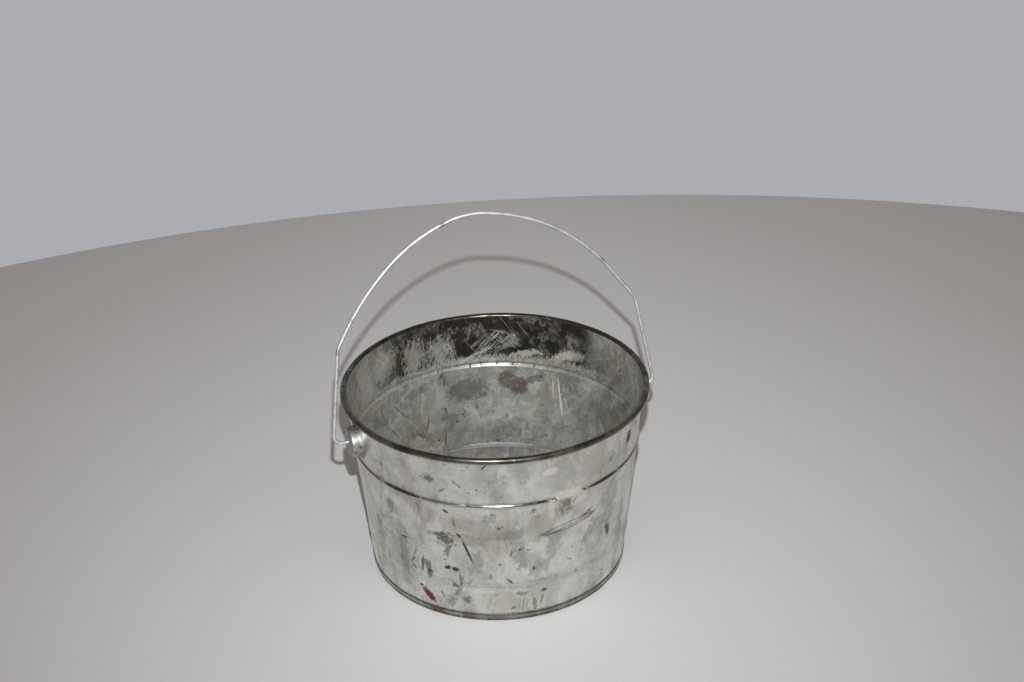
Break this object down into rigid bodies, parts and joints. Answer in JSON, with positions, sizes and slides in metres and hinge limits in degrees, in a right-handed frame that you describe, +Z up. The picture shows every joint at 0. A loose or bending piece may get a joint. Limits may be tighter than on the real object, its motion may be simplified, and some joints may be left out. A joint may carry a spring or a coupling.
{
  "type": "metal pail with wire bail",
  "caption": "Small round tapered sheet-metal pail with a rolled rim, pressed beads, seamed bottom, stamped cup ears and a swinging wire bail, worn and stained.",
  "frame": {"origin": "centre of the pail's foot on the surface that it stands on", "axes": "+Z up along the pail's axis; +X along the bail's pivot line, which runs 8 mm forward (-Y) of the pail's axis, from the left ear to the right ear; +Y towards the side that the bail leans to"},
  "size_m": [0.2546, 0.23, 0.2772],
  "materials": {
    "tinned_steel": "dull bright-tinned steel sheet, stained and scuffed",
    "ear_steel": "bright stamped steel",
    "galvanised_wire": "smooth galvanised wire"
  },
  "bodies": {
    "pail": {"wall": "tinned_steel", "bottom": "tinned_steel", "ear_left": "ear_steel", "ear_right": "ear_steel"},
    "bail": {"bail": "galvanised_wire"}
  },
  "joints": [
    {"name": "bail_swing", "type": "hinge", "parent": "pail", "child": "bail", "pos_m": [0, -0.008, 0.1226], "axis": [1, 0, 0], "range_deg": [-126, 148]}
  ]
}
